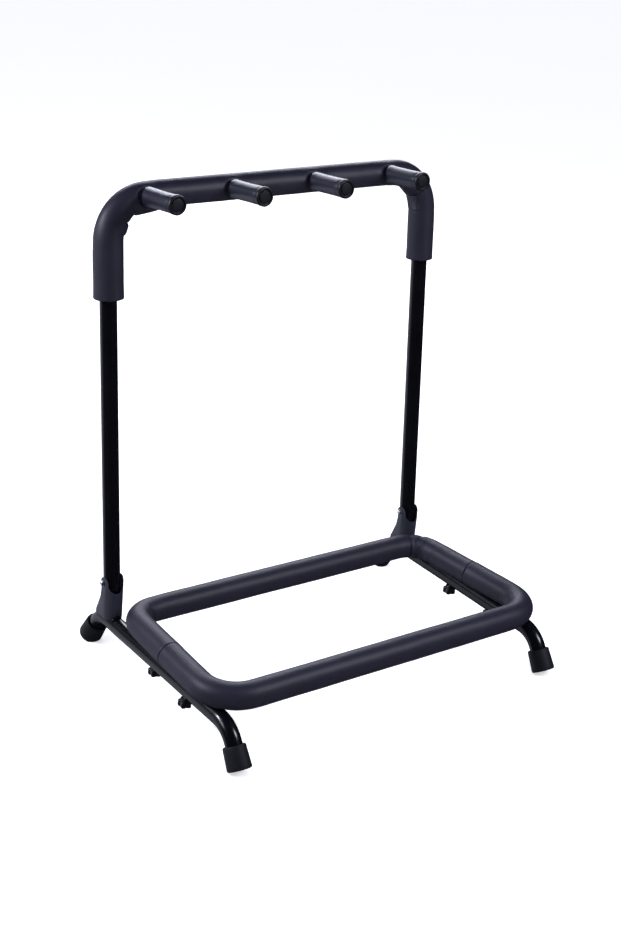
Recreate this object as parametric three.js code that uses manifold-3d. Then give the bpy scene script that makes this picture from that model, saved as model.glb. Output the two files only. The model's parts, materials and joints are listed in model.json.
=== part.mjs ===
// Guitar rack: two bent steel legs carry a foam-covered loop for the guitar bodies and a folding,
// foam-covered upright frame with four padded neck rests. Millimetres, +Z up, front towards -Y.

import * as THREE from 'three';
import { mergeVertices } from 'three/addons/utils/BufferGeometryUtils.js';
import Module from 'manifold-3d';

const wasm = await Module();
wasm.setup();

// ---- Driving dimensions, in millimetres and degrees ----

const touchGap = 0.3;            // left between pieces that rest on each other

const tubeRadius = 12.5;         // every structural tube is 25 mm
const tubeWall = 1.2;
const foamRadius = 20;           // a 7.5 mm foam wall over the tube

const legSpacing = 566;          // between the leg axes; the uprights stand in the same planes
const legHeight = 58.5;          // leg axis above the floor
const legFrontKnee = -156;       // where the straight middle of a leg starts and ends
const legRearKnee = 144;
const legBendRadius = 45;
const legDroop = 57;             // slope of a leg's ends below level, degrees

const footRadius = 17.9;         // rubber foot at its sole
const footCollarRadius = 16.6;   // and at its open end
const footLength = 34;
const footFloor = 4;             // rubber under the end of the tube
const soleDepth = 3;             // the heel moulded flat, measured up from the lowest edge

const loopRise = 28.8;           // loop axis above leg axis at the seam; the foam is nipped there
const loopPitch = 0.015;         // the loop rises this much per millimetre towards its front
const loopRear = 104;            // axis of the rear bar of the loop
const loopFront = -169;          // axis of the front bar
const loopHalfWidthRear = 275;   // the arms spread a little towards the front
const loopHalfWidthFront = 293;
const loopRearBend = 44;
const loopFrontBend = 52;
const seamY = -26;               // where the front and rear halves of the loop meet
const seamGap = 0.4;
const studRearInset = 42;        // clamping studs either side of the seam
const studFrontInset = 50;

const studRadius = 3;            // M6
const knobRadius = 10.6;
const knobHeight = 13;
const knobLobes = 5;

const pivotY = 146;              // fold pivot of the upright frame
const pivotHeight = 124;
const leanBack = 6.2;            // degrees; the frame rests on its stop
const uprightReach = 571;        // pivot to top bar axis
const uprightTail = 50;          // tube below the pivot, which bears on the bracket
const uprightBend = 62;
const sleeveStart = 429;         // foam starts this far above the pivot

const plateThickness = 1.8;      // hinge bracket sheet
const plateClearance = 0.5;      // between the tube and each bracket cheek

const postCount = 4;
const postPitch = 143.5;
const postRowShift = -12;        // the row of rests sits left of the middle
const postReach = 96;            // top bar axis to the end of a rest
const postTubeRadius = 8;
const postFoamRadius = 13.6;
const postCapRadius = 14.2;
const postCapLength = 7;

// ---- Derived places ----

const lean = THREE.MathUtils.degToRad(leanBack);
const droop = THREE.MathUtils.degToRad(legDroop);
const loopHeight = legHeight + loopRise;
const studPlaces = [
  { half: 'rear', y: seamY + studRearInset },
  { half: 'front', y: seamY - studFrontInset },
];
const sides = [
  { name: 'left', sign: -1 },
  { name: 'right', sign: 1 },
];

// Half the width between the loop's arms at a distance y along them.
function loopHalfWidth(y) {
  return THREE.MathUtils.mapLinear(y, loopRear, loopFront, loopHalfWidthRear, loopHalfWidthFront);
}

// Height of the loop's axis at a distance y along the arms, above its height at the seam.
function loopLift(y) {
  return loopPitch * (seamY - y);
}

// ---- Materials ----

const blackPaint = new THREE.MeshStandardMaterial({ color: 0x131316, roughness: 0.25, metalness: 0.3 });
const zinc = new THREE.MeshStandardMaterial({ color: 0xc4c8cc, roughness: 0.3, metalness: 1 });
const rubber = new THREE.MeshStandardMaterial({ color: 0x1b1b1d, roughness: 0.8, metalness: 0 });
const plastic = new THREE.MeshStandardMaterial({ color: 0x26262b, roughness: 0.5, metalness: 0 });
const foam = new THREE.MeshStandardMaterial({ color: 0x3a3743, roughness: 0.95, metalness: 0 });

// ---- Solid modelling helpers ----

function solid(geometry) {
  const bare = geometry.clone();
  bare.deleteAttribute('normal');
  bare.deleteAttribute('uv');
  const merged = mergeVertices(bare, 1e-4);
  return new wasm.Manifold(new wasm.Mesh({
    numProp: 3,
    vertProperties: new Float32Array(merged.attributes.position.array),
    triVerts: new Uint32Array(merged.index.array),
  }));
}

function geometryOf(manifold) {
  const { vertProperties, triVerts } = manifold.getMesh();
  const geometry = new THREE.BufferGeometry();
  geometry.setAttribute('position', new THREE.BufferAttribute(vertProperties, 3));
  geometry.setIndex(new THREE.BufferAttribute(triVerts, 1));
  geometry.computeVertexNormals();
  return geometry;
}

function cut(body, ...tools) {
  return geometryOf(tools.reduce((rest, tool) => rest.subtract(solid(tool)), solid(body)));
}

// A regular polygon for a round section. A bore's polygon is drawn around its circle, so that a
// round piece of that radius still passes.
function circle(radius, count) {
  return Array.from({ length: count }, (_, i) => {
    const angle = 2 * Math.PI * i / count;
    return new THREE.Vector2(radius * Math.cos(angle), radius * Math.sin(angle));
  });
}

function bore(radius, count) {
  return circle(radius / Math.cos(Math.PI / count), count);
}

// A polyline with rounded corners. Its steps fall at the ends of the straights and along each bend.
class Route extends THREE.Curve {
  constructor(corners, bendRadius, bendSteps) {
    super();
    const directions = corners.slice(1).map((corner, i) => corner.clone().sub(corners[i]).normalize());
    this.stations = [{ point: corners[0], tangent: directions[0] }];
    for (let i = 1; i < corners.length - 1; i++) {
      const before = directions[i - 1];
      const after = directions[i];
      const turn = before.angleTo(after);
      const axis = before.clone().cross(after).normalize();
      const start = corners[i].clone().addScaledVector(before, -bendRadius * Math.tan(turn / 2));
      const centre = start.clone().addScaledVector(axis.clone().cross(before), bendRadius);
      for (let k = 0; k <= bendSteps; k++) {
        const angle = turn * k / bendSteps;
        this.stations.push({
          point: start.clone().sub(centre).applyAxisAngle(axis, angle).add(centre),
          tangent: before.clone().applyAxisAngle(axis, angle),
        });
      }
    }
    this.stations.push({ point: corners.at(-1), tangent: directions.at(-1) });
  }

  get steps() {
    return this.stations.length - 1;
  }

  getUtoTmapping(u) {
    return u;
  }

  getPoint(t, target = new THREE.Vector3()) {
    const place = t * this.steps;
    const i = Math.min(Math.floor(place), this.steps - 1);
    return target.lerpVectors(this.stations[i].point, this.stations[i + 1].point, place - i);
  }

  getTangent(t, target = new THREE.Vector3()) {
    return target.copy(this.stations[Math.round(t * this.steps)].tangent);
  }
}

// A round tube along a route, hollow if it has an inner radius.
function tube(route, outerRadius, innerRadius, outerSides = 24, innerSides = 10) {
  const section = new THREE.Shape(circle(outerRadius, outerSides));
  if (innerRadius > 0) {
    section.holes.push(new THREE.Path(bore(innerRadius, innerSides)));
  }
  return new THREE.ExtrudeGeometry(section, { steps: route.steps, extrudePath: route });
}

function line(start, end) {
  return new Route([start, end], 0, 0);
}

// A round bar between two points, used for pins and for drilling.
function rod(radius, start, end, count = 16) {
  return tube(line(start, end), radius, 0, count);
}

function vector(x, y, z) {
  return new THREE.Vector3(x, y, z);
}

// A shape turned about the Z axis, from [radius, height] pairs.
function turned(profile, count = 20) {
  const points = profile.map(([radius, height]) => new THREE.Vector2(radius, height));
  return new THREE.LatheGeometry(points, count).rotateX(Math.PI / 2);
}

function slab(shape, depth) {
  return new THREE.ExtrudeGeometry(shape, { depth, bevelEnabled: false, curveSegments: 8 });
}

// An outline drawn as Z against Y, extruded along X about the middle.
function acrossX(shape, width) {
  const yzx = new THREE.Matrix4().makeBasis(vector(0, 1, 0), vector(0, 0, 1), vector(1, 0, 0));
  return slab(shape, width).applyMatrix4(yzx).translate(-width / 2, 0, 0);
}

function place(parent, name, geometry, material, position = vector(0, 0, 0)) {
  const mesh = new THREE.Mesh(geometry, material);
  mesh.name = name;
  mesh.position.copy(position);
  parent.add(mesh);
}

// ---- Legs and feet, in the plane of one leg: Y along it, Z above the floor ----

// Length of a leg's straight end, from the bend to the middle of the foot's end face.
function droopLength() {
  const bendDrop = legBendRadius * (1 - Math.cos(droop));
  const endFaceHeight = footRadius * Math.cos(droop) - soleDepth;
  return (legHeight - bendDrop - endFaceHeight) / Math.sin(droop);
}

// The leg's axis, its ends short of the feet's end faces by pullBack.
function legRoute(pullBack) {
  const bendLength = legBendRadius * Math.tan(droop / 2);
  const reach = bendLength + droopLength() - pullBack;
  const front = legFrontKnee - bendLength;
  const rear = legRearKnee + bendLength;
  const endY = reach * Math.cos(droop);
  const endZ = legHeight - reach * Math.sin(droop);
  return new Route([
    vector(0, front - endY, endZ),
    vector(0, front, legHeight),
    vector(0, rear, legHeight),
    vector(0, rear + endY, endZ),
  ], legBendRadius, 5);
}

// The studs stand on the loop's arms, which aren't quite parallel to the legs.
function studOffset(y) {
  return loopHalfWidth(y) - legSpacing / 2;
}

function makeLeg(sign) {
  const drills = studPlaces.map(({ y }) => {
    const x = sign * studOffset(y);
    return rod(studRadius + touchGap, vector(x, y, 0), vector(x, y, loopHeight), 12);
  });
  const route = legRoute(footFloor + touchGap);
  return cut(tube(route, tubeRadius, tubeRadius - tubeWall), ...drills);
}

// A cup of rubber on the end of the leg, cut level where it stands. heading is -1 at the front.
function makeFoot(heading) {
  const socket = tubeRadius + touchGap;
  const cup = turned([
    [0, 0], [footRadius - 1, 0], [footRadius, 1.5], [footCollarRadius, footLength - 1.5],
    [footCollarRadius - 1, footLength], [socket, footLength], [socket, footFloor], [0, footFloor],
  ]);
  const end = legRoute(0).stations.at(heading < 0 ? 0 : -1).point;
  cup.rotateX(heading * (Math.PI / 2 - droop));
  cup.translate(end.x, end.y, end.z);
  const floorBlock = new THREE.BoxGeometry(60, 60, 20).translate(0, end.y, -10);
  return cut(cup, floorBlock);
}

// ---- Hinge, about its pivot ----

const cheekInside = tubeRadius + plateClearance;
const cheekOutside = cheekInside + plateThickness;
const bracketBottom = legHeight + 8.5 - pivotHeight;
const bracketTop = 12;
// The foot of the leaning upright bears on the inside of the bracket's rounded front.
const stopY = -(uprightTail * Math.sin(lean) + tubeRadius * Math.cos(lean)) - touchGap;

// A U seen from above, round at the front.
function bracketPlan(radius, frontY, rearY) {
  const outline = new THREE.Shape();
  outline.moveTo(radius, rearY);
  outline.lineTo(-radius, rearY);
  outline.absarc(0, frontY + radius, radius, Math.PI, 2 * Math.PI, false);
  return outline;
}

// A cheek seen from the side, Z against Y: an ear round the pivot, a waist and a flared foot.
function cheekOutline() {
  const frontY = stopY - plateThickness - 1;
  const outline = new THREE.Shape();
  outline.moveTo(frontY, bracketBottom);
  outline.lineTo(18, bracketBottom);
  outline.lineTo(17.5, bracketBottom + 7);
  outline.quadraticCurveTo(11, bracketBottom + 21, 6.5, bracketBottom + 33);
  outline.lineTo(4.6, -10);
  outline.quadraticCurveTo(4.4, -7, 5.4, -4.5);
  outline.absarc(-2, 1.5, 8.6, -0.55, 0.75 * Math.PI, false);
  outline.quadraticCurveTo(-13, 2, frontY, -1);
  return outline;
}

function makeBracket() {
  const height = bracketTop - bracketBottom;
  const outside = slab(bracketPlan(cheekOutside, stopY - plateThickness, 20), height);
  const inside = slab(bracketPlan(cheekInside, stopY, 30), height + 2).translate(0, 0, -1);
  // The notch takes the upright when it is folded level.
  const notchRadius = cheekInside - 0.1;
  const notch = rod(notchRadius, vector(0, -40, 0), vector(0, 2, 0), 24);
  const notchMouth = new THREE.BoxGeometry(2 * notchRadius, 42, 30).translate(0, -19, 15);
  const leg = tube(legRoute(0), tubeRadius + touchGap, 0).translate(0, -pivotY, -pivotHeight);
  const pin = rod(studRadius + touchGap, vector(-30, 0, 0), vector(30, 0, 0));
  const cheeks = solid(acrossX(cheekOutline(), 60));
  const shell = solid(outside.translate(0, 0, bracketBottom)).intersect(cheeks);
  return cut(geometryOf(shell), inside.translate(0, 0, bracketBottom), notch, notchMouth, leg, pin);
}

// Hinge hardware lies along X, with the bolt's low round head towards -X and a thin nut at +X.
const washerThickness = 0.8;
const washerRadius = 4.9;
const washerFace = cheekOutside + touchGap;
const headFace = washerFace + washerThickness + touchGap;
const headThickness = 2.4;
const headRadius = 4;
const nutThickness = 2.2;
const nutRadius = 4.9;           // across the corners

function makePivotBolt() {
  const head = turned([
    [0, 0], [headRadius, 0], [headRadius, headThickness / 2], [0.7 * headRadius, headThickness], [0, headThickness],
  ]).rotateY(-Math.PI / 2).translate(-headFace, 0, 0);
  const tip = washerFace + nutThickness + 0.4;
  const shank = rod(studRadius, vector(-headFace - 1, 0, 0), vector(tip, 0, 0));
  return geometryOf(solid(head).add(solid(shank)));
}

function makePivotNut() {
  const nut = rod(nutRadius, vector(washerFace, 0, 0), vector(washerFace + nutThickness, 0, 0), 6);
  return cut(nut, rod(studRadius + touchGap, vector(0, 0, 0), vector(40, 0, 0)));
}

function makeWasher() {
  const edge = [studRadius + touchGap, 0];
  const far = studRadius + touchGap;
  const ring = turned([
    edge, [washerRadius, 0], [washerRadius, washerThickness], [far, washerThickness], edge,
  ], 16);
  return ring.rotateY(Math.PI / 2).translate(-washerFace - washerThickness, 0, 0);
}

// ---- Loop, about its own level: X across, Y along ----

const loopHalves = {
  rear: { barY: loopRear, bend: loopRearBend, heading: 1 },
  front: { barY: loopFront, bend: loopFrontBend, heading: -1 },
};

const insertRadius = 4.2;
const insertFlange = 5.5;
const insertLength = 9;

// Axis of one half, from seam to seam, its ends short of the seam by pullBack.
function loopRoute(half, pullBack) {
  const { barY, bend, heading } = loopHalves[half];
  const endY = seamY + heading * pullBack;
  return new Route([
    vector(-loopHalfWidth(endY), endY, loopLift(endY)),
    vector(-loopHalfWidth(barY), barY, loopLift(barY)),
    vector(loopHalfWidth(barY), barY, loopLift(barY)),
    vector(loopHalfWidth(endY), endY, loopLift(endY)),
  ], bend, 5);
}

// Holes down through the underside of one half, where its studs enter.
function studDrills(half, radius) {
  return sides.map(({ sign }) => {
    const { y } = studPlaces.find((stud) => stud.half === half);
    const x = sign * loopHalfWidth(y);
    return rod(radius, vector(x, y, -loopRise), vector(x, y, loopLift(y)));
  });
}

function makeLoopTube(half) {
  const bar = tube(loopRoute(half, 1), tubeRadius, tubeRadius - tubeWall, 16, 8);
  return cut(bar, ...studDrills(half, insertRadius + touchGap));
}

function makeLoopFoam(half) {
  const sleeve = tube(loopRoute(half, seamGap / 2), foamRadius, tubeRadius + touchGap, 20);
  const grooves = sides.map(({ sign }) => {
    const x = sign * legSpacing / 2;
    return rod(tubeRadius + touchGap, vector(x, -250, -loopRise), vector(x, 200, -loopRise), 24);
  });
  return cut(sleeve, ...grooves, ...studDrills(half, insertFlange + 2 * touchGap));
}

// A flanged, threaded insert in the tube's wall, its flange under the tube.
function makeInsert() {
  const hole = studRadius + touchGap;
  return turned([
    [hole, -1], [insertFlange, -1], [insertFlange, 0], [insertRadius, 0],
    [insertRadius, insertLength], [hole, insertLength], [hole, -1],
  ], 12);
}

// ---- Clamping knobs, from the face that meets the leg ----

const knobTop = legHeight - tubeRadius - touchGap;
const knobBoreDepth = 9;
const knobCollar = 3;

function makeKnob() {
  const pointsPerLobe = 6;
  const bevel = 1.2;
  const outline = circle(1, knobLobes * pointsPerLobe).map((point) => {
    const wave = Math.cos(knobLobes * point.angle());
    return point.multiplyScalar(knobRadius * (0.88 + 0.12 * wave) - bevel);
  });
  const grip = new THREE.ExtrudeGeometry(new THREE.Shape(outline), {
    depth: knobHeight - knobCollar - 2 * bevel,
    bevelThickness: bevel,
    bevelSize: bevel,
    bevelSegments: 1,
  }).translate(0, 0, bevel - knobHeight);
  const collar = rod(7, vector(0, 0, -knobCollar - 1), vector(0, 0, 0), 20);
  const hole = rod(studRadius + touchGap, vector(0, 0, -knobBoreDepth), vector(0, 0, 1));
  return cut(geometryOf(solid(grip).add(solid(collar))), hole);
}

function makeStud(y) {
  const top = loopHeight + loopLift(y) - tubeRadius + insertLength - 0.5 - knobTop;
  return rod(studRadius, vector(0, 0, touchGap - knobBoreDepth), vector(0, 0, top));
}

// ---- Upright frame, about its pivot: X across, Z up the tube, rests towards -Y ----

function uprightRoute(bottom) {
  const half = legSpacing / 2;
  return new Route([
    vector(-half, 0, bottom),
    vector(-half, 0, uprightReach),
    vector(half, 0, uprightReach),
    vector(half, 0, bottom),
  ], uprightBend, 7);
}

function makeUprightTube() {
  const pivotDrill = rod(studRadius + touchGap, vector(-legSpacing, 0, 0), vector(legSpacing, 0, 0));
  return cut(tube(uprightRoute(-uprightTail), tubeRadius, tubeRadius - tubeWall), pivotDrill);
}

const postPlaces = Array.from({ length: postCount }, (_, i) => {
  const x = postRowShift + (i - (postCount - 1) / 2) * postPitch;
  return { name: i + 1, position: vector(x, 0, uprightReach) };
});

function makeUprightFoam() {
  const drills = postPlaces.map(({ position }) => {
    const front = position.clone().setY(-foamRadius - 5);
    return rod(postTubeRadius + 2 * touchGap, position, front);
  });
  return cut(tube(uprightRoute(sleeveStart), foamRadius, tubeRadius + touchGap, 20), ...drills);
}

// ---- Neck rests, from the top bar's axis towards -Y ----

const postEnd = postReach - postCapLength - touchGap;

// The upright's surface as a rest at this place meets it: the outer rests reach the corner bends.
function coping(position, radius, count) {
  const { x, y, z } = position;
  return tube(uprightRoute(sleeveStart), radius + touchGap, 0, count).translate(-x, -y, -z);
}

function makePost(position) {
  const axis = line(vector(0, 0, 0), vector(0, -postEnd, 0));
  const stub = tube(axis, postTubeRadius, postTubeRadius - tubeWall, 16);
  return cut(stub, coping(position, tubeRadius, 24));
}

function makePostFoam(position) {
  const axis = line(vector(0, 0, 0), vector(0, -postEnd, 0));
  const sleeve = tube(axis, postFoamRadius, postTubeRadius + touchGap, 20);
  return cut(sleeve, coping(position, foamRadius, 20));
}

// A round cap with a plug in the tube and an inset disc in its end.
function makePostCap() {
  const plug = postTubeRadius - tubeWall - 2 * touchGap;
  const disc = 0.7 * postCapRadius;
  return turned([
    [0, -12], [plug, -12], [plug, 0], [postCapRadius - 0.8, 0], [postCapRadius, 1],
    [postCapRadius, postCapLength - 1.5], [postCapRadius - 1.5, postCapLength], [disc, postCapLength],
    [disc, postCapLength - 1.2], [0, postCapLength - 1.2],
  ]).rotateX(Math.PI / 2).translate(0, -postEnd - touchGap, 0);
}

// ---- Assembly ----

const rack = new THREE.Group();

for (const { name, sign } of sides) {
  const legPlace = vector(sign * legSpacing / 2, 0, 0);
  place(rack, `${name}_leg_tube`, makeLeg(sign), blackPaint, legPlace);
  place(rack, `${name}_front_foot`, makeFoot(-1), rubber, legPlace);
  place(rack, `${name}_rear_foot`, makeFoot(1), rubber, legPlace);

  const pivotPlace = vector(sign * legSpacing / 2, pivotY, pivotHeight);
  place(rack, `${name}_hinge_bracket`, makeBracket(), blackPaint, pivotPlace);
  place(rack, `${name}_pivot_bolt`, makePivotBolt(), zinc, pivotPlace);
  place(rack, `${name}_pivot_nut`, makePivotNut(), blackPaint, pivotPlace);
  place(rack, `${name}_pivot_washer`, makeWasher(), zinc, pivotPlace);

  for (const { half, y } of studPlaces) {
    const x = sign * loopHalfWidth(y);
    const knobPlace = vector(x, y, knobTop);
    place(rack, `${name}_${half}_knob`, makeKnob(), plastic, knobPlace);
    place(rack, `${name}_${half}_stud`, makeStud(y), zinc, knobPlace);
    const insertPlace = vector(x, y, loopHeight + loopLift(y) - tubeRadius - touchGap);
    place(rack, `${name}_${half}_insert`, makeInsert(), zinc, insertPlace);
  }
}

for (const half of ['rear', 'front']) {
  place(rack, `${half}_loop_tube`, makeLoopTube(half), blackPaint, vector(0, 0, loopHeight));
  place(rack, `${half}_loop_foam`, makeLoopFoam(half), foam, vector(0, 0, loopHeight));
}

const upright = new THREE.Group();
upright.position.set(0, pivotY, pivotHeight);
upright.rotation.x = -lean;
rack.add(upright);
place(upright, 'upright_tube', makeUprightTube(), blackPaint);
place(upright, 'upright_foam', makeUprightFoam(), foam);
for (const { name, position } of postPlaces) {
  place(upright, `neck_rest_${name}`, makePost(position), blackPaint, position);
  place(upright, `neck_foam_${name}`, makePostFoam(position), foam, position);
  place(upright, `neck_cap_${name}`, makePostCap(), plastic, position);
}

// Stand the rack with the middle of its plan on the origin.
const bounds = new THREE.Box3().setFromObject(rack, true);
rack.position.y = -(bounds.min.y + bounds.max.y) / 2;

export default rack;
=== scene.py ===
import json
import math

import bmesh
import bpy
from mathutils import Matrix, Vector, noise


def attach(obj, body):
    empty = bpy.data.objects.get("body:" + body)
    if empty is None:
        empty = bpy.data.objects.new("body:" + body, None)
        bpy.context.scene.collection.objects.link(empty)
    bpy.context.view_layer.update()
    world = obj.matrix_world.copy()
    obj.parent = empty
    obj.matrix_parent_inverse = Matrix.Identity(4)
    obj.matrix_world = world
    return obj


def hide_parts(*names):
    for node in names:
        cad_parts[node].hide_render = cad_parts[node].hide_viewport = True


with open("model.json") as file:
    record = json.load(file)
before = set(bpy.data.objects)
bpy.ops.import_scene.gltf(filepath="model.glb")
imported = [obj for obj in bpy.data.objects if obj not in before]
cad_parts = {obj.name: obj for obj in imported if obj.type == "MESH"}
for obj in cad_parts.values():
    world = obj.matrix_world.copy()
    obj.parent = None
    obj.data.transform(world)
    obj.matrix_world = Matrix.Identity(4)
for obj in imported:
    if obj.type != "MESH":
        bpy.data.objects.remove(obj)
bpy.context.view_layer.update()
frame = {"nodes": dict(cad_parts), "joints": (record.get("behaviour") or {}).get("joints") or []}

# Guitar rack: powder-coated steel tube sleeved in foam. Everything is drawn in millimetres and
# degrees, +Z up and the front towards -Y, and set down in metres by the pieces' last step.

# ---- Sizes ----

METRES = 0.001

TUBE = 12.5               # radius of the 25 mm steel tube
TUBE_BORE = 11.3
TUBE_RIM = 0.35           # rounding of a sawn end
TUBE_SIDES = 56
FOAM = 20.0               # radius over the foam
FOAM_BORE = 12.8
FOAM_SIDES = 84

LEG_SPACING = 566.0
LEG_HEIGHT = 58.5
LEG_KNEES = (-156.0, 144.0)
LEG_BEND = 45.0
LEG_DROOP = math.radians(57)

FOOT = 17.9               # radius at the sole
FOOT_COLLAR = 16.6
FOOT_LENGTH = 34.0
FOOT_SOCKET = 12.8
FOOT_FLOOR = 4.0
HEEL = 3.0                # depth of the heel moulded flat

LOOP_HEIGHT = 87.3        # at the seam
LOOP_PITCH = 0.015        # rise per millimetre towards the front
LOOP_BARS = {"rear": 104.0, "front": -169.0}
LOOP_HALF_WIDTHS = {"rear": 275.0, "front": 293.0}
LOOP_BENDS = {"rear": 44.0, "front": 52.0}
SEAM = -26.0
SEAM_GAP = 0.9
SEAM_RIM = 1.6
SADDLE_REACH = 24.0       # how far from a leg's axis its press into the foam is felt
SADDLE_EASE = 0.9

UPRIGHT_HINGE = 146.0     # hinge pin along the rack
UPRIGHT_LEAN = math.radians(6.2)
UPRIGHT_REACH = 571.0
UPRIGHT_TAIL = 50.0
UPRIGHT_BEND = 62.0
SLEEVE_START = 429.0
SLEEVE_RIM = 2.2
PUSHED_DOWN = {"left": 1.7, "right": 0.9, "bar": -0.7}   # what the foam gains in radius

REST_PLACES = (-227.25, -83.75, 59.75, 203.25)
REST_FOAM = 13.6
REST_BORE = 8.3
REST_END = 88.7           # top bar's axis to the end of the padding
REST_CAP = 14.2
REST_SEAT = 19.0          # top bar's axis to the foot of the padding

KNOB = 10.6
KNOB_HEIGHT = 13.0
KNOB_TOP = 45.7
KNOB_PLACES = {"rear": SEAM + 42, "front": SEAM - 50}

pin = Vector(next(j for j in frame["joints"] if j["name"] == "upright_fold")["pos_m"])
base_place = Matrix.Scale(METRES, 4) @ Matrix.Translation((0, pin.y / METRES - UPRIGHT_HINGE, 0))
upright_place = (
    Matrix.Translation(pin)
    @ Matrix.Rotation(-UPRIGHT_LEAN, 4, "X")
    @ Matrix.Scale(METRES, 4)
)

# ---- Finishes ----


def linear(hex_colour):
    """A linear colour from an sRGB hex value such as "2a2933"."""
    channels = [int(hex_colour[i:i + 2], 16) / 255 for i in (0, 2, 4)]
    curve = [c / 12.92 if c <= 0.04045 else ((c + 0.055) / 1.055) ** 2.4 for c in channels]
    return (*curve, 1.0)


def add(tree, kind, inputs=None, **settings):
    """Adds a node. An input is a value, or another node's output to link."""
    node = tree.nodes.new(kind)
    for name, value in settings.items():
        setattr(node, name, value)
    for socket, value in (inputs or {}).items():
        if isinstance(value, bpy.types.NodeSocket):
            tree.links.new(value, node.inputs[socket])
        else:
            node.inputs[socket].default_value = value
    return node


def finish(name, **surface):
    """A new material: its node tree, its shader, and the object's own coordinates in metres."""
    material = bpy.data.materials.new(name)
    material.use_nodes = True
    tree = material.node_tree
    tree.nodes.clear()
    shader = add(tree, "ShaderNodeBsdfPrincipled", surface)
    add(tree, "ShaderNodeOutputMaterial", {"Surface": shader.outputs[0]})
    place = add(tree, "ShaderNodeTexCoord").outputs["Object"]
    return material, tree, shader, place


def mottle(tree, place, spacing_mm, detail=2.0, roughness=0.5):
    """Cloudy noise, 0 to 1, whose clouds are that far apart."""
    settings = {"Vector": place, "Scale": 1000 / spacing_mm, "Detail": detail, "Roughness": roughness}
    return add(tree, "ShaderNodeTexNoise", settings).outputs[0]


def between(tree, factor, low, high):
    """A colour or number that runs from low to high as the factor does from 0 to 1."""
    if isinstance(low, str):
        colours = {0: factor, 6: linear(low), 7: linear(high)}
        return add(tree, "ShaderNodeMix", colours, data_type="RGBA").outputs[2]
    span = {"Value": factor, "To Min": low, "To Max": high}
    return add(tree, "ShaderNodeMapRange", span).outputs[0]


def relief(tree, height, depth_mm, strength, under=None):
    """A bump of that real depth, laid over another one."""
    settings = {"Height": height, "Distance": depth_mm * METRES, "Strength": strength}
    if under is not None:
        settings["Normal"] = under
    return add(tree, "ShaderNodeBump", settings).outputs[0]


def closed_cell_foam(name, low, high, roughness, pore_strength, sheen):
    """NBR foam hose with its moulded skin: charcoal with a violet cast, dull, pricked with pores."""
    surface = {"IOR": 1.45, "Sheen Weight": sheen, "Sheen Roughness": 0.5}
    surface["Sheen Tint"] = linear("b9b6c8")
    material, tree, shader, place = finish(name, **surface)
    # Cells are 0.2 to 0.4 mm in the real foam, and are drawn at 0.9 mm so that they show.
    cells = {"Vector": place, "Scale": 1000 / 0.9, "Randomness": 1.0}
    pores = add(tree, "ShaderNodeTexVoronoi", cells, feature="SMOOTH_F1").outputs["Distance"]
    grain = mottle(tree, place, 2.2, 3.0, 0.6)
    clouds = mottle(tree, place, 26.0, 2.0)
    crumple = add(tree, "ShaderNodeAttribute", attribute_name="crumple").outputs["Fac"]
    # Where the hose is bunched in a bend its skin breaks into fine creases about 2.5 mm apart.
    turned_place = add(tree, "ShaderNodeMapping", {"Vector": place, "Rotation": (0.5, 0.9, 0.3)})
    creases = mottle(tree, turned_place.outputs[0], 2.6, 4.0, 0.7)
    crumpled = add(tree, "ShaderNodeMath", {0: creases, 1: crumple}, operation="MULTIPLY").outputs[0]
    tone = add(tree, "ShaderNodeMath", {0: clouds, 1: grain}, operation="MULTIPLY_ADD")
    tone.inputs[2].default_value = 0.12
    tree.links.new(between(tree, tone.outputs[0], low, high), shader.inputs["Base Color"])
    tree.links.new(between(tree, grain, roughness - 0.06, roughness + 0.08), shader.inputs["Roughness"])
    skin = relief(tree, clouds, 0.5, 0.25)
    skin = relief(tree, grain, 0.12, 0.35, skin)
    skin = relief(tree, pores, 0.15, pore_strength, skin)
    skin = relief(tree, crumpled, 1.1, 0.8, skin)
    tree.links.new(skin, shader.inputs["Normal"])
    return material


def powder_coat(name, low, high, gloss):
    """Powder coat baked on steel: near-black, with a faint orange peel under its gloss."""
    material, tree, shader, place = finish(name, **{"IOR": 1.5})
    peel = mottle(tree, place, 2.4, 1.0)
    flow = mottle(tree, place, 16.0, 1.0)
    smears = mottle(tree, place, 45.0, 3.0, 0.6)
    tree.links.new(between(tree, smears, low, high), shader.inputs["Base Color"])
    tree.links.new(between(tree, smears, gloss, gloss + 0.12), shader.inputs["Roughness"])
    coat = relief(tree, peel, 0.05, 0.3)
    tree.links.new(relief(tree, flow, 0.12, 0.3, coat), shader.inputs["Normal"])
    return material


def moulded_rubber():
    """Rubber from an etched mould: soft black that hardly shines, a little dusty."""
    material, tree, shader, place = finish("moulded_rubber", **{"IOR": 1.52, "Specular IOR Level": 0.3})
    etch = mottle(tree, place, 0.8, 2.0)
    dust = mottle(tree, place, 9.0, 4.0, 0.65)
    tree.links.new(between(tree, dust, "0b0b12", "14141d"), shader.inputs["Base Color"])
    tree.links.new(between(tree, dust, 0.5, 0.68), shader.inputs["Roughness"])
    tree.links.new(relief(tree, etch, 0.1, 0.5), shader.inputs["Normal"])
    return material


def moulded_plastic():
    """Glass-filled nylon from a spark-eroded mould: dark grey, satin, finely grained."""
    material, tree, shader, place = finish("moulded_nylon", **{"IOR": 1.53})
    grain = mottle(tree, place, 0.7, 2.0)
    flow = mottle(tree, place, 12.0, 2.0)
    tree.links.new(between(tree, flow, "07080f", "0e0f19"), shader.inputs["Base Color"])
    tree.links.new(between(tree, flow, 0.34, 0.46), shader.inputs["Roughness"])
    tree.links.new(relief(tree, grain, 0.05, 0.45), shader.inputs["Normal"])
    return material


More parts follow.
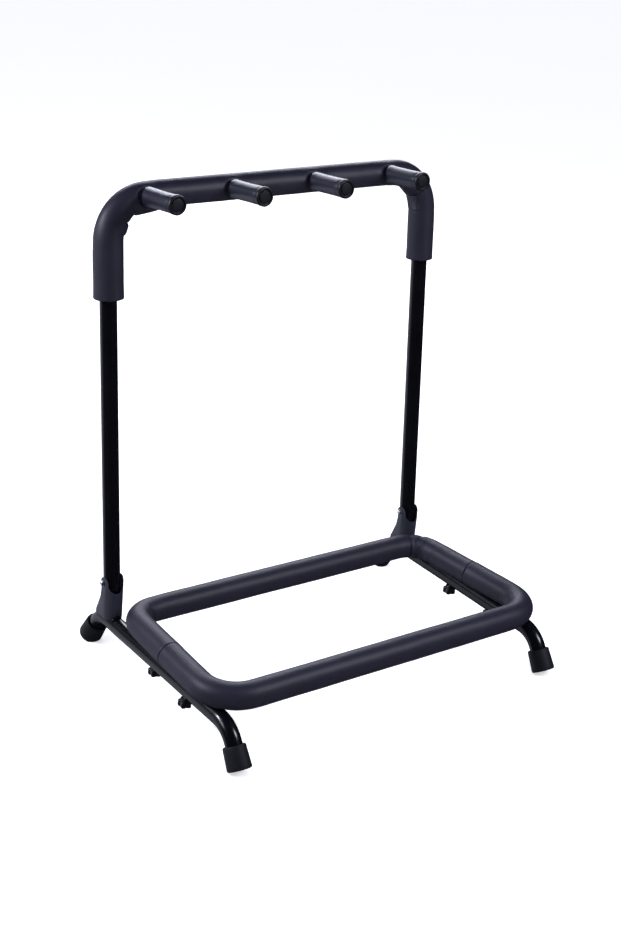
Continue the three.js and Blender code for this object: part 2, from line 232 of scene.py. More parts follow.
def zinc_plate():
    """Bright zinc plate on steel hardware: silver with a slight blue, brushed by tumbling."""
    material, tree, shader, place = finish("bright_zinc_plate", **{"Metallic": 1.0})
    scuffs = mottle(tree, place, 1.2, 3.0, 0.65)
    bloom = mottle(tree, place, 5.0, 2.0)
    tree.links.new(between(tree, bloom, "c3c8ce", "dfe2e4"), shader.inputs["Base Color"])
    tree.links.new(between(tree, scuffs, 0.2, 0.38), shader.inputs["Roughness"])
    tree.links.new(relief(tree, scuffs, 0.03, 0.4), shader.inputs["Normal"])
    return material


def pale_floor():
    """A white studio sweep, almost even."""
    surface = {"Roughness": 0.9, "Specular IOR Level": 0.1}
    material, tree, shader, place = finish("white_sweep", **surface)
    paper = mottle(tree, place, 700.0, 2.0)
    tree.links.new(between(tree, paper, "f4f4f5", "f8f8f8"), shader.inputs["Base Color"])
    shader.inputs["Emission Color"].default_value = (1, 1, 1, 1)
    shader.inputs["Emission Strength"].default_value = 0.6
    return material


FINISHES = {
    "sleeve_foam": closed_cell_foam("charcoal_foam_hose", "191825", "262337", 0.5, 0.3, 0.0),
    "rest_foam": closed_cell_foam("smooth_foam_padding", "191925", "242533", 0.36, 0.15, 0.02),
    "black_paint": powder_coat("black_powder_coat", "040407", "08080e", 0.17),
    # The bracket's coat is satin, and its base colour is painted far lighter than the black steel's. This
    # is painted light, standing in for the light falling on its cheeks.
    "bracket_paint_painted_lighter": powder_coat("satin_powder_coat_painted_lighter", "22242f", "2c2e3c", 0.4),
    "rubber": moulded_rubber(),
    "black_plastic": moulded_plastic(),
    "zinc": zinc_plate(),
}

# ---- Shaping helpers ----


class Route:
    """A line that runs straight between corners and rounds each one at the same radius."""

    def __init__(self, corners, bend):
        corners = [Vector(corner) for corner in corners]
        headings = [(b - a).normalized() for a, b in zip(corners, corners[1:])]
        self.across = headings[0].cross(headings[1]).normalized()
        self.bend = bend
        self.parts = []
        self.bends = []
        here = corners[0]
        done = 0.0
        for corner, heading, turned_to in zip(corners[1:], headings, headings[1:] + [None]):
            turn = heading.angle(turned_to) if turned_to else 0.0
            cut = bend * math.tan(turn / 2)
            self.parts.append((done, here, heading, False))
            done += (corner - here).length - cut
            here = corner - heading * cut
            if turned_to:
                self.parts.append((done, here, heading, True))
                self.bends.append((done, done + bend * turn))
                here = corner + turned_to * cut
                done += bend * turn
        self.length = done

    def at(self, distance):
        """The point that far along, and the direction towards the inside of the bends."""
        start, point, heading, bent = [p for p in self.parts if p[0] <= max(distance, 0)][-1]
        inward = self.across.cross(heading)
        if not bent:
            return point + heading * (distance - start), inward
        swing = Matrix.Rotation((distance - start) / self.bend, 3, self.across)
        return point + inward * self.bend - swing @ inward * self.bend, swing @ inward

    def stations(self, straight_step, bend_step):
        """Distances along the route, closer together in and beside its bends."""
        marks = [0.0]
        for start, end in self.bends + [(self.length, self.length)]:
            margin = min(14.0, (start - marks[-1]) / 3) if end > start else 0.0
            count = max(1, round((start - margin - marks[-1]) / straight_step))
            first = marks[-1]
            marks += [first + (start - margin - first) * k / count for k in range(1, count + 1)]
            if end > start:
                first = marks[-1]
                count = round((end + margin - first) / bend_step)
                marks += [first + (end + margin - first) * k / count for k in range(1, count + 1)]
        return marks


def step(low, high, value):
    """0 below low and 1 above high, smooth between them; low may be the larger."""
    share = min(1.0, max(0.0, (value - low) / (high - low)))
    return share * share * (3 - 2 * share)


def hump(distance, width):
    """1 at no distance, fading to nothing over about twice the width."""
    return math.exp(-(distance / width) ** 2)


def eased(corners, steps=4):
    """A profile of (radius, height) points from (radius, height, rounding) corners."""
    profile = []
    for i, (radius, height, rounding) in enumerate(corners):
        here = Vector((radius, height))
        if not rounding:
            profile.append(here)
            continue
        back = (Vector(corners[i - 1][:2]) - here).normalized()
        ahead = (Vector(corners[(i + 1) % len(corners)][:2]) - here).normalized()
        half = back.angle(ahead) / 2
        centre = here + (back + ahead).normalized() * rounding / math.sin(half)
        start = here + back * rounding / math.tan(half) - centre
        end = here + ahead * rounding / math.tan(half) - centre
        turn = start.angle_signed(end)
        for k in range(steps + 1):
            profile.append(centre + Matrix.Rotation(-turn * k / steps, 2) @ start)
    return profile


def turned(profile, sides, closed=False):
    """A shape turned about the Z axis from (radius, height) points."""
    bm = bmesh.new()
    points = [bm.verts.new((radius, 0, height)) for radius, height in profile]
    ends = points[1:] + points[:1] if closed else points[1:]
    for a, b in zip(points, ends):
        bm.edges.new((a, b))
    bmesh.ops.spin(
        bm,
        geom=bm.verts[:] + bm.edges[:],
        cent=(0, 0, 0),
        axis=(0, 0, 1),
        angle=2 * math.pi,
        steps=sides,
        use_merge=True,
    )
    bmesh.ops.remove_doubles(bm, verts=bm.verts, dist=1e-4)
    return bm


def hose(stations, outer, bore, rim, lip, sides):
    """A straight closed hose on the Z axis with rounded rims, one ring at each station."""
    low = stations[0]
    high = stations[-1]
    corners = [(bore, low, lip), (outer, low, rim), (outer, high, rim), (bore, high, lip)]
    profile = eased(corners)
    wall = [Vector((outer, z)) for z in stations if low + rim < z - 0.2 and z + 0.2 < high - rim]
    lining = [Vector((bore, v.y)) for v in wall[::-3]]
    half = len(profile) // 2
    return turned(profile[:half] + wall + profile[half:] + lining, sides, closed=True)


def swell(bm, outer, bore, change):
    """Moves each point of a straight hose outwards by change(distance, angle); the bore stays."""
    for vert in bm.verts:
        radius = math.hypot(vert.co.x, vert.co.y)
        share = (radius - bore) / (outer - bore)
        if share < 0.02:
            continue
        angle = math.atan2(vert.co.y, vert.co.x)
        grown = (radius + share * change(vert.co.z, angle)) / radius
        vert.co.x *= grown
        vert.co.y *= grown


def lay(bm, route):
    """Bends a straight hose along a route, its X side towards the inside of the bends."""
    frames = {}
    for vert in bm.verts:
        key = round(vert.co.z, 3)
        if key not in frames:
            frames[key] = route.at(vert.co.z)
        point, inward = frames[key]
        vert.co = point + inward * vert.co.x + route.across * vert.co.y


def stacked(outline, levels, sides):
    """A closed solid from level outlines: outline(angle, level) gives a radius and a height."""
    bm = bmesh.new()
    bmesh.ops.create_circle(bm, cap_ends=True, segments=sides, radius=1)
    ring = bm.verts[:]
    edges = bm.edges[:]
    for number, level in enumerate(levels):
        if number:
            made = bmesh.ops.extrude_edge_only(bm, edges=edges)["geom"]
            ring = [g for g in made if isinstance(g, bmesh.types.BMVert)]
            edges = [g for g in made if isinstance(g, bmesh.types.BMEdge) and g.is_boundary]
        for vert in ring:
            angle = math.atan2(vert.co.y, vert.co.x)
            radius, height = outline(angle, level)
            vert.co = (radius * math.cos(angle), radius * math.sin(angle), height)
    bmesh.ops.edgeloop_fill(bm, edges=edges)
    return bm


def weld_bead(length):
    """A straight weld on the Z axis: a rounded cord with the ripples that the arc leaves."""
    levels = []
    count = round(length / 0.45)
    for k in range(count + 1):
        z = length * k / count
        end = min(1.0, (min(z, length - z) + 0.15) / 2.2)
        levels.append((WELD * math.sqrt(end) * (1 + 0.1 * math.sin(2 * math.pi * z / 1.9)), z))
    return stacked(lambda angle, level: level, levels, 16)


def piece(name, bm, place, finish_name, body, nodes, crease=40, subdivide=0):
    """Sets a shape down as a finished piece that rides on a body and stands for CAD nodes."""
    bmesh.ops.recalc_face_normals(bm, faces=bm.faces)
    bmesh.ops.transform(bm, matrix=place, verts=bm.verts)
    mesh = bpy.data.meshes.new(name)
    bm.to_mesh(mesh)
    bm.free()
    mesh.shade_smooth()
    mesh.set_sharp_from_angle(angle=math.radians(crease))
    mesh.materials.append(FINISHES[finish_name])
    made = bpy.data.objects.new(name, mesh)
    bpy.context.scene.collection.objects.link(made)
    if subdivide:
        modifier = made.modifiers.new("rounding", "SUBSURF")
        modifier.levels = subdivide
        modifier.render_levels = subdivide
    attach(made, body)
    if nodes:
        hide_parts(*nodes)
    return made


# ---- Foam: waviness, rolls in the bends, dents ----


def waviness(z, angle, seed):
    """Foam hose is never quite even."""
    slow = noise.noise(Vector((z / 60 + seed, math.cos(angle), math.sin(angle))))
    quick = noise.noise(Vector((z / 17, 2 * math.cos(angle), 2 * math.sin(angle) + seed)))
    return 0.3 * slow + 0.1 * quick


def rolls(place, spans):
    """Rolls of bunched foam with a nip between each two: (start, end, height, nip) along the bend."""
    height = 0.0
    for start, end, top, nip in spans:
        share = (place - start) / (end - start)
        if 0 < share < 1:
            height += top * math.sqrt(4 * share * (1 - share))
        height -= nip * hump(place - end, 1.7)
    return height


def inner_side(angle, spread):
    """1 on the inside of a bend, fading to nothing round the hose."""
    return max(0.0, math.cos(angle)) ** spread


def crumple(z, angle, radius):
    """Small crossed creases in the skin of bunched foam."""
    around = angle * radius
    return math.sin((z + 0.8 * around) * 1.75) * math.sin((z - 0.9 * around) * 1.6)


def mark_crumple(bm, amount):
    """Stores how broken the skin is, for the finish to read; call it on the straight hose."""
    layer = bm.verts.layers.float.new("crumple")
    for vert in bm.verts:
        angle = math.atan2(vert.co.y, vert.co.x)
        vert[layer] = max(0.0, min(1.0, amount(vert.co.z, angle)))


# ---- Upright frame: tube, top sleeve, rests ----


def upright_route(bottom):
    """Axis of the upright frame, from one open end to the other."""
    half = LEG_SPACING / 2
    left = [(-half, 0, bottom), (-half, 0, UPRIGHT_REACH)]
    right = [(half, 0, UPRIGHT_REACH), (half, 0, bottom)]
    return Route(left + right, UPRIGHT_BEND)


bow_route = upright_route(-UPRIGHT_TAIL)
tube = hose(bow_route.stations(60, 1.8), TUBE, TUBE_BORE, TUBE_RIM, TUBE_RIM, TUBE_SIDES)
lay(tube, bow_route)
piece("upright_bow", tube, upright_place, "black_paint", "upright_frame", ["upright_tube"])

sleeve_route = upright_route(SLEEVE_START)
left_bend, right_bend = sleeve_route.bends
REST_DISTANCES = [left_bend[1] + x + LEG_SPACING / 2 - UPRIGHT_BEND for x in REST_PLACES]

# Rolls along each bend's middle line, from its lower end on the left and from the bar on the right.
LEFT_ROLLS = [(14, 40, 3.6, 2.4), (40, 63, 0.4, 3.8), (63, 120, 7.0, 0.2)]
RIGHT_ROLLS = [(-12, 30, 1.2, 1.6), (30, 62, 2.4, 2.8), (62, 98, 1.4, 0.3)]


def fullness(z):
    """The hose is pushed down on the uprights, so it stands thicker there than on the bar."""
    left = step(left_bend[1], left_bend[0], z)
    right = step(right_bend[0], right_bend[1], z)
    bar = 1 - left - right
    return PUSHED_DOWN["left"] * left + PUSHED_DOWN["right"] * right + PUSHED_DOWN["bar"] * bar


def bend_bunching(z, angle, bend, spans):
    """How far the foam stands out in a bend: its rolls, its broken skin, its flatter outside."""
    middle = (bend[0] + bend[1]) / 2
    nearness = step(66, 40, abs(z - middle))
    side = inner_side(angle, 1.6)
    bunched = rolls(z - bend[0], spans) * side
    skin = 0.38 * crumple(z, angle, FOAM) * nearness * step(0.35, 0.8, math.cos(angle))
    return bunched + skin + nearness * (0.3 * math.cos(angle) - 0.3)


def rest_dent(z, angle):
    """The foam is pressed in round each rest's foot."""
    dent = 0.0
    for distance in REST_DISTANCES:
        away = math.hypot(z - distance, FOAM * (angle + math.pi / 2))
        if away < 26:
            dent += 0.35 * hump(away - 20, 3.5) - 2.6 * step(17.4, 14.6, away)
    return dent


def sleeve_shape(z, angle):
    """How far the skin of the top sleeve stands out from an even hose."""
    shape = waviness(z, angle, 1.7) + fullness(z)
    shape += 0.8 * math.cos(angle) * step(left_bend[1], left_bend[0], z)
    shape += bend_bunching(z, angle, left_bend, LEFT_ROLLS)
    shape += bend_bunching(z, angle, right_bend, RIGHT_ROLLS)
    from_end = min(z, sleeve_route.length - z)
    shape += 0.5 * hump(from_end - 2, 9) - 0.35 * hump(from_end - 6.5, 1.3)
    return shape + rest_dent(z, angle)


def sleeve_crumple(z, angle):
    """The skin is broken on the inside of both bends."""
    left = step(60, 28, abs(z - sum(left_bend) / 2))
    right = step(56, 24, abs(z - sum(right_bend) / 2))
    return max(left, right) * step(0.1, 0.75, math.cos(angle))


sleeve = hose(sleeve_route.stations(2.6, 0.95), FOAM, FOAM_BORE, SLEEVE_RIM, 0.6, FOAM_SIDES)
mark_crumple(sleeve, sleeve_crumple)
swell(sleeve, FOAM, FOAM_BORE, sleeve_shape)
lay(sleeve, sleeve_route)
stands_for = ["upright_foam"]
cover = piece("upright_sleeve", sleeve, upright_place, "sleeve_foam", "upright_frame", stands_for)

forward = Matrix.Rotation(math.pi / 2, 4, "X")

for number, x in enumerate(REST_PLACES, 1):
    place = upright_place @ Matrix.Translation((x, 0, UPRIGHT_REACH)) @ forward

    def pad_shape(z, angle):
        shape = 0.6 * waviness(z, angle, 5.0 * number)
        shape += 0.35 * step(36, 23, z) - 3.2 * hump(z - 18.6, 3.0) - 0.25 * hump(z - 56, 22)
        return shape - 0.45 * hump(z - REST_END + 1.0, 3.0)

    steps = [REST_SEAT + 1.7 * k for k in range(42)]
    pad = hose([z for z in steps if z < REST_END] + [REST_END], REST_FOAM, REST_BORE, 1.0, 0.4, 56)
    mark_crumple(pad, lambda z, angle: 0.0)
    swell(pad, REST_FOAM, REST_BORE, pad_shape)
    for vert in pad.verts:
        # The foot of the padding is cut to sit on the round of the bar.
        seat = math.sqrt((FOAM - 1.2) ** 2 - min(abs(vert.co.y), 16) ** 2)
        vert.co.z += (seat - REST_SEAT) * step(48, REST_SEAT, vert.co.z)
    stands_for = [f"neck_foam_{number}"]
    padding = piece(f"rest_pad_{number}", pad, place, "rest_foam", "upright_frame", stands_for)

    cap_corners = [
        (0, -12, 0), (6.2, -12, 0.4), (6.2, 0.3, 0), (REST_CAP, 0.3, 0.9), (REST_CAP, 7.3, 1.9),
        (11.0, 7.3, 0.6), (10.4, 5.4, 0.4), (9.8, 5.4, 0.2), (8.8, 6.8, 0.5), (0, 7.0, 0),
    ]
    cap_place = place @ Matrix.Translation((0, 0, REST_END))
    cap = turned(eased(cap_corners, 5), 64)
    stands_for = [f"neck_cap_{number}"]
    piece(f"rest_cap_{number}", cap, cap_place, "black_plastic", "upright_frame", stands_for, crease=50)

# ---- Loop for the guitar bodies ----


def loop_level(y):
    """Height of the loop's axis."""
    return LOOP_HEIGHT + LOOP_PITCH * (SEAM - y)


def loop_half_width(y):
    """Half the spread of the loop's arms, which open towards the front."""
    share = (y - LOOP_BARS["rear"]) / (LOOP_BARS["front"] - LOOP_BARS["rear"])
    return LOOP_HALF_WIDTHS["rear"] + share * (LOOP_HALF_WIDTHS["front"] - LOOP_HALF_WIDTHS["rear"])


def leg_distance(point):
    """Direction and distance from the axis of the leg below a point of the loop."""
    side = math.copysign(LEG_SPACING / 2, point.x)
    if point.y > LEG_KNEES[0]:
        away = Vector((point.x - side, 0, point.z - LEG_HEIGHT))
        return away.normalized(), away.length
    knee = Vector((side, LEG_KNEES[0], LEG_HEIGHT - LEG_BEND))
    spoke = Vector((0, point.y - knee.y, point.z - knee.z)).normalized()
    away = point - knee - spoke * LEG_BEND
    return away.normalized(), away.length


def press_on_legs(bm):
    """Sinks the legs into the underside of the foam, which swells a little beside them."""
    for vert in bm.verts:
        if abs(vert.co.x) < 225 or vert.co.z > loop_level(vert.co.y):
            continue
        away, distance = leg_distance(vert.co)
        if distance > SADDLE_REACH:
            continue
        contact = TUBE + 0.15
        squeezed = math.log1p(math.exp((distance - contact) / SADDLE_EASE))
        clear = contact + SADDLE_EASE * squeezed
        vert.co += away * (clear - distance)
        vert.co.x += math.copysign(0.5 * hump(distance - 15, 2.5), away.x)


LOOP_FOLDS = {
    "rear": [(-4, 24, 0.6, 1.1), (24, 46, 0.9, 1.5), (46, 76, 0.6, 0.2)],
    "front": [(-6, 42, 0.5, 0.5), (42, 90, 0.5, 0.2)],
}

for half, heading in (("rear", 1), ("front", -1)):
    bar = LOOP_BARS[half]
    seam = SEAM + heading * SEAM_GAP / 2
    corners = [
        (-loop_half_width(seam), seam, loop_level(seam)),
        (-loop_half_width(bar), bar, loop_level(bar)),
        (loop_half_width(bar), bar, loop_level(bar)),
        (loop_half_width(seam), seam, loop_level(seam)),
    ]
    loop_route = Route(corners, LOOP_BENDS[half])

    def loop_shape(z, angle):
        shape = waviness(z, angle, 11.3 if half == "rear" else 23.9)
        if half == "rear":
            shape -= 0.6 * step(loop_route.bends[0][0], loop_route.bends[0][1], z)
        for bend in loop_route.bends:
            middle = (bend[0] + bend[1]) / 2
            nearness = step(58, 32, abs(z - middle))
            shape += rolls(z - bend[0], LOOP_FOLDS[half]) * inner_side(angle, 2.2)
            shape += nearness * (0.3 * math.cos(angle) - 0.3)
        if half == "rear":
            # Two creases run right round the outside of the rear right bend.
            start = loop_route.bends[1][0]
            side = 0.35 + 0.65 * step(-0.9, 0.6, math.cos(angle))
            for crease, depth in ((23, 1.6), (41, 1.8)):
                wander = 1.5 * math.sin(3 * angle + crease)
                shape -= depth * side * hump(z - start - crease - wander, 3.2)
                shape += 0.6 * side * hump(z - start - crease - wander - 8, 4.0)
        from_end = min(z, loop_route.length - z)
        return shape + 0.25 * hump(from_end - 3, 6)

    def loop_crumple(z, angle):
        nearest = min(abs(z - (a + b) / 2) for a, b in loop_route.bends)
        return 0.6 * step(46, 20, nearest) * step(0.2, 0.9, math.cos(angle))

    foam = hose(loop_route.stations(2.6, 1.1), FOAM, FOAM_BORE, SEAM_RIM, 0.3, FOAM_SIDES)
    mark_crumple(foam, loop_crumple)
    swell(foam, FOAM, FOAM_BORE, loop_shape)
    lay(foam, loop_route)
    press_on_legs(foam)
    stands_for = [f"{half}_loop_foam"]
    cover = piece(f"{half}_loop_sleeve", foam, base_place, "sleeve_foam", "base", stands_for)

# ---- Legs, feet, hinge hardware, knobs ----


def leg_reach():
    """Straight end of a leg, from the corner of its bend to the middle of the foot's end face."""
    drop = LEG_BEND * (1 - math.cos(LEG_DROOP))
    face = FOOT * math.cos(LEG_DROOP) - HEEL
    return LEG_BEND * math.tan(LEG_DROOP / 2) + (LEG_HEIGHT - drop - face) / math.sin(LEG_DROOP)


def leg_corners(x, pull_back):
    """Corners of a leg's axis, its ends that far short of the feet's end faces."""
    bend = LEG_BEND * math.tan(LEG_DROOP / 2)
    reach = leg_reach() - pull_back
    end_y = reach * math.cos(LEG_DROOP)
    end_z = LEG_HEIGHT - reach * math.sin(LEG_DROOP)
    front = LEG_KNEES[0] - bend
    rear = LEG_KNEES[1] + bend
    front_end = [(x, front - end_y, end_z), (x, front, LEG_HEIGHT)]
    rear_end = [(x, rear, LEG_HEIGHT), (x, rear + end_y, end_z)]
    return front_end + rear_end


def hexagon(angle, level):
    """A hexagon with turned corners: level is (share of the radius, height, chamfer)."""
    share, height, chamfer = level
    corner = math.pi / 3
    flat = NUT_FLATS / math.cos((angle % corner) - corner / 2)
    turned_off = 0.95 * NUT_FLATS
    if share < 1:
        return min(flat, turned_off) * share, height
    return flat, height - chamfer * max(0.0, flat - turned_off) * 0.6


def star(angle, level):
    """Five rounded lobes, drawn in by an inset; a level without lobes is a plain circle."""
    radius, height, lobed = level
    wave = 0.12 * math.cos(5 * angle) * lobed
    return radius * (1 - 0.12 * lobed + wave), height


HINGE_FACE = 15.1         # where the nut or the washer lies on the bracket, out from its middle
HEAD_FACE = 16.2
NUT_FLATS = 4.24
WELD = 1.9                # radius of a weld bead
WELD_SIDE = Vector((12.2, 17, 7.2))   # rear end of a side weld, from the leg's axis
WELD_FRONT = UPRIGHT_HINGE - 21.4
WELD_ARCH = ((-10.2, 8.6), (0, 16.5), (10.2, 8.6))

for side, sign in (("left", -1), ("right", 1)):
    x = sign * LEG_SPACING / 2

    leg_route = Route(leg_corners(x, FOOT_FLOOR + 0.3), LEG_BEND)
    leg = hose(leg_route.stations(50, 1.6), TUBE, TUBE_BORE, TUBE_RIM, TUBE_RIM, TUBE_SIDES)
    lay(leg, leg_route)
    piece(f"{side}_leg", leg, base_place, "black_paint", "base", [f"{side}_leg_tube"])

    for end, heading in (("front", -1), ("rear", 1)):
        foot_corners = [
            (0, 0, 0), (FOOT, 0, 2.0), (FOOT - 0.1, 6, 8), (FOOT_COLLAR, FOOT_LENGTH, 2.4),
            (FOOT_SOCKET, FOOT_LENGTH, 0.9), (FOOT_SOCKET, FOOT_FLOOR, 0), (0, FOOT_FLOOR, 0),
        ]
        foot = turned(eased(foot_corners, 5), 64)
        corners = leg_corners(x, 0)
        stand = Vector(corners[0] if end == "front" else corners[-1])
        tilt = Matrix.Rotation(heading * (math.pi / 2 - LEG_DROOP), 4, "X")
        bmesh.ops.transform(foot, matrix=Matrix.Translation(stand) @ tilt, verts=foot.verts)
        cut = bmesh.ops.bisect_plane(
            foot,
            geom=foot.verts[:] + foot.edges[:] + foot.faces[:],
            dist=1e-4,
            plane_co=(0, 0, 0),
            plane_no=(0, 0, 1),
            clear_inner=True,
        )
        rim = [g for g in cut["geom_cut"] if isinstance(g, bmesh.types.BMEdge)]
        bmesh.ops.holes_fill(foot, edges=rim, sides=0)
        stands_for = [f"{side}_{end}_foot"]
        piece(f"{side}_{end}_boot", foot, base_place, "rubber", "base", stands_for, crease=35)

    hinge = base_place @ Matrix.Translation((x, UPRIGHT_HINGE, pin.z / METRES))
    outward = Matrix.Translation((-HEAD_FACE, 0, 0)) @ Matrix.Rotation(-math.pi / 2, 4, "Y")
    head_corners = [
        (0, 0, 0), (4, 0, 0.3), (4, 0.9, 0.6), (2.9, 2.4, 1.4),
        (1.2, 2.4, 0.3), (0.9, 1.9, 0.2), (0, 1.9, 0),
    ]
    head = turned(eased(head_corners, 4), 48)
    piece(f"{side}_bolt_head", head, hinge @ outward, "zinc", "base", [f"{side}_pivot_bolt"], crease=50)

    shank_levels = [(2.4, -HEAD_FACE - 1), (3, -HEAD_FACE + 0.5), (3, 10.3)]
    shank_levels += [(3.0 if k % 2 else 2.72, 10.8 + 0.5 * k) for k in range(14)]
    shank_levels += [(2.3, 17.7), (0.4, 17.7)]
    shank = stacked(lambda angle, level: level, shank_levels, 32)
    inward = Matrix.Rotation(math.pi / 2, 4, "Y")
    piece(f"{side}_bolt_shank", shank, hinge @ inward, "zinc", "base", [f"{side}_pivot_bolt"], crease=60)

    nut_levels = [(0.72, 0.3, 0), (0.76, 0, 0), (0.99, 0, 0), (1, 0, -1), (1, 2.2, 1)]
    nut_levels += [(0.99, 2.2, 0), (0.76, 2.2, 0), (0.72, 1.9, 0)]
    nut = stacked(hexagon, nut_levels, 72)
    nut_place = hinge @ Matrix.Translation((HINGE_FACE, 0, 0)) @ inward
    piece(f"{side}_nut", nut, nut_place, "black_paint", "base", [f"{side}_pivot_nut"], crease=30)

    washer_corners = [(3.3, 0, 0.15), (4.9, 0, 0.25), (4.9, 0.8, 0.25), (3.3, 0.8, 0.15)]
    washer = turned(eased(washer_corners, 2), 48, closed=True)
    washer_place = hinge @ Matrix.Translation((-HINGE_FACE - 0.8, 0, 0)) @ inward
    piece(f"{side}_washer", washer, washer_place, "zinc", "base", [f"{side}_pivot_washer"])

    for half, y in KNOB_PLACES.items():
        levels = [
            (3.0, -KNOB_HEIGHT + 0.9, 0), (6.4, -KNOB_HEIGHT + 0.6, 0.1), (8.2, -KNOB_HEIGHT, 0.6),
            (KNOB - 1.6, -KNOB_HEIGHT, 1), (KNOB - 0.8, -KNOB_HEIGHT + 0.25, 1),
            (KNOB - 0.2, -KNOB_HEIGHT + 0.9, 1), (KNOB, -KNOB_HEIGHT + 1.8, 1), (KNOB, -4.6, 1),
            (KNOB - 0.2, -3.8, 1), (KNOB - 0.8, -3.2, 1), (KNOB - 1.6, -3, 1), (7.4, -3, 0.2),
            (7.0, -2.6, 0), (7.0, -0.5, 0), (6.5, 0, 0), (3.3, 0, 0), (3.3, -6, 0), (0.3, -6, 0),
        ]
        knob = stacked(star, levels, 100)
        knob_place = base_place @ Matrix.Translation((sign * loop_half_width(y), y, KNOB_TOP))
        clamp = f"{side}_{half}_clamp"
        stands_for = [f"{side}_{half}_knob"]
        piece(f"{side}_{half}_star_knob", knob, knob_place, "black_plastic", clamp, stands_for, crease=50)

    bracket = bmesh.new()
    bracket.from_mesh(frame["nodes"][f"{side}_hinge_bracket"].data)
    bmesh.ops.remove_doubles(bracket, verts=bracket.verts, dist=2e-6)
    flat = math.radians(1.5)
    bmesh.ops.dissolve_limit(bracket, angle_limit=flat, verts=bracket.verts, edges=bracket.edges)
    shared = [edge for edge in bracket.edges if len(edge.link_faces) == 2]
    sharp = [edge for edge in shared if edge.calc_face_angle() > math.radians(35)]
    bmesh.ops.bevel(
        bracket,
        geom=sharp,
        offset=0.35 * METRES,
        affect="EDGES",
        segments=2,
        profile=0.5,
        material=-1,
        clamp_overlap=True,
    )
    for edge in (-1, 1):
        bead = weld_bead(21)
        out, back, up = WELD_SIDE
        rear_end = Vector((x + edge * out, UPRIGHT_HINGE + back, LEG_HEIGHT + up))
        along = Matrix.Translation(rear_end) @ forward
        bmesh.ops.transform(bead, matrix=along, verts=bead.verts)
        name = f"{side}_{'inner' if edge == -sign else 'outer'}_weld"
        piece(name, bead, base_place, "black_paint", "base", [], crease=60)
    bead = weld_bead(18)
    over_leg = [(x + across, WELD_FRONT, LEG_HEIGHT + up) for across, up in WELD_ARCH]
    lay(bead, Route(over_leg, 12.6))
    piece(f"{side}_front_weld", bead, base_place, "black_paint", "base", [], crease=60)

    # The bracket takes the satin coat whose colour is painted lighter: painted light for its lit cheeks.
    stands_for = [f"{side}_hinge_bracket"]
    in_place = Matrix.Identity(4)
    piece(f"{side}_bracket", bracket, in_place, "bracket_paint_painted_lighter", "base", stands_for, crease=30)

# ---- CAD pieces that stay as they are, inside the foam and the knobs ----

for name, node in frame["nodes"].items():
    if node.hide_render:
        continue
    steel = name.endswith("_tube") or name.startswith("neck_rest")
    node.data.materials.clear()
    node.data.materials.append(FINISHES["black_paint" if steel else "zinc"])

# ---- Floor, light and camera, in metres ----

FLOOR_RADIUS = 16
LAMP_TINT = linear("eceffc")[:3]
CAMERA_PLACE = (-1.418297, -1.752117, 1.306761)
AZIMUTH = math.radians(-38.076)
ELEVATION = math.radians(23.723)
ROLL = math.radians(5.621)
SENSOR = 36
FOCAL_LENGTH = 64.62

floor_shape = bmesh.new()
bmesh.ops.create_circle(floor_shape, cap_ends=True, segments=96, radius=FLOOR_RADIUS)
floor_mesh = bpy.data.meshes.new("studio_floor")
floor_shape.to_mesh(floor_mesh)
floor_shape.free()
floor_mesh.materials.append(pale_floor())
floor = bpy.data.objects.new("studio_floor", floor_mesh)
bpy.context.scene.collection.objects.link(floor)
floor.visible_glossy = False

world = bpy.data.worlds.new("studio")
bpy.context.scene.world = world
world.use_nodes = True
sky = world.node_tree
sky.nodes.clear()
towards = add(sky, "ShaderNodeTexCoord").outputs["Generated"]
height = add(sky, "ShaderNodeSeparateXYZ", {0: towards}).outputs["Z"]
rise = add(sky, "ShaderNodeMapRange", {"Value": height, "From Min": -0.1, "From Max": 0.1})
# The lit sweep lies behind the rack and to its left; the room in front of it is dark.
aside = add(sky, "ShaderNodeVectorMath", {0: towards, 1: (-0.26, 0.97, 0)}, operation="DOT_PRODUCT")
spread = {"Value": aside.outputs["Value"], "From Min": 0.6, "From Max": 0.86}
lit = add(sky, "ShaderNodeMapRange", spread)
sweep = between(sky, lit.outputs[0], "24252d", "d8dcec")
room = between(sky, lit.outputs[0], "22242e", "3c3e4c")
tone = add(sky, "ShaderNodeMix", {0: rise.outputs[0], 6: sweep, 7: room}, data_type="RGBA").outputs[2]
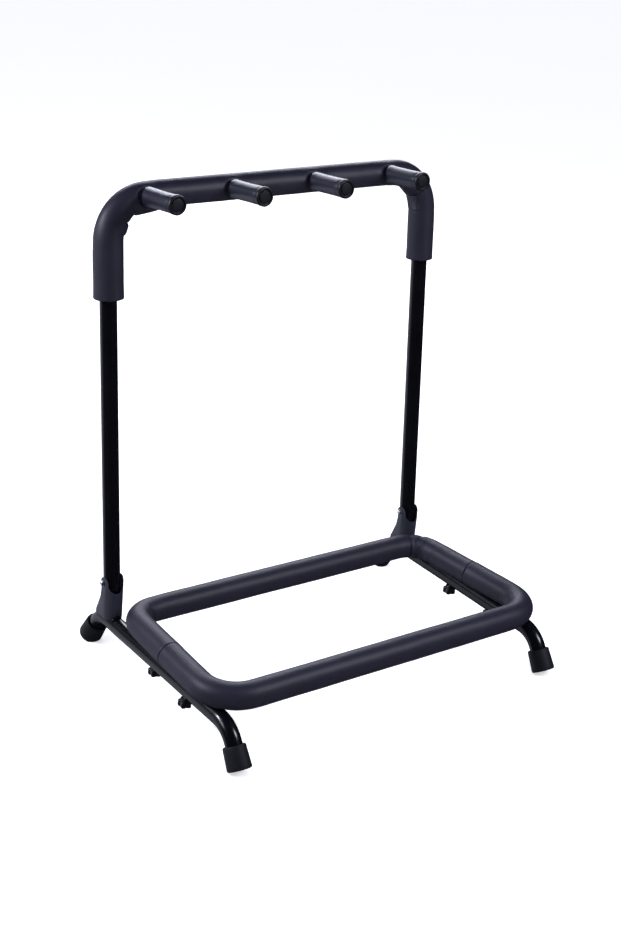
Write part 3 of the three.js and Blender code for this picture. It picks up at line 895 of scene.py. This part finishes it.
# Seen directly, the surround is as pale as the floor; the dark room shows only in the steel.
seen = add(sky, "ShaderNodeLightPath").outputs["Is Camera Ray"]
shown = add(sky, "ShaderNodeMix", {0: seen, 6: tone, 7: linear("fafbff")}, data_type="RGBA").outputs[2]
glow = add(sky, "ShaderNodeBackground", {"Color": shown, "Strength": 1.0})
add(sky, "ShaderNodeOutputWorld", {"Surface": glow.outputs[0]})


def softbox(name, place, aim, width, height, power):
    """A rectangular diffused lamp at a place, facing a point."""
    lamp = bpy.data.lights.new(name, "AREA")
    lamp.shape = "RECTANGLE"
    lamp.size = width
    lamp.size_y = height
    lamp.energy = power
    made = bpy.data.objects.new(name, lamp)
    bpy.context.scene.collection.objects.link(made)
    made.location = place
    made.rotation_euler = (Vector(aim) - Vector(place)).to_track_quat("-Z", "Y").to_euler()
    lamp.color = LAMP_TINT


softbox("front_softbox", (1.05, -1.5, 1.72), (0, 0, 0.3), 0.7, 0.7, 28)
softbox("left_softbox", (-2.3, 0.45, 1.2), (0, 0, 0.35), 0.6, 0.7, 9)
softbox("corner_softbox", (-2.1, 1.15, 1.55), (0, 0, 0.6), 0.34, 0.36, 42)
softbox("back_softbox", (1.2, 2.4, 1.5), (0, 0, 0.5), 2.2, 0.9, 52)

sun = bpy.data.lights.new("overhead_scrim", "SUN")
sun.energy = 1.4
sun.color = LAMP_TINT
sun.angle = math.radians(50)
scrim = bpy.data.objects.new("overhead_scrim", sun)
bpy.context.scene.collection.objects.link(scrim)
scrim.rotation_euler = (math.radians(12), math.radians(-14), 0)
scrim.visible_glossy = False

lens = bpy.data.cameras.new("camera")
lens.sensor_width = SENSOR
lens.lens = FOCAL_LENGTH
camera = bpy.data.objects.new("camera", lens)
bpy.context.scene.collection.objects.link(camera)
camera.matrix_world = (
    Matrix.Translation(CAMERA_PLACE)
    @ Matrix.Rotation(AZIMUTH, 4, "Z")
    @ Matrix.Rotation(math.pi / 2 - ELEVATION, 4, "X")
    @ Matrix.Rotation(ROLL, 4, "Z")
)
bpy.context.scene.camera = camera
bpy.context.scene.view_settings.view_transform = "Standard"
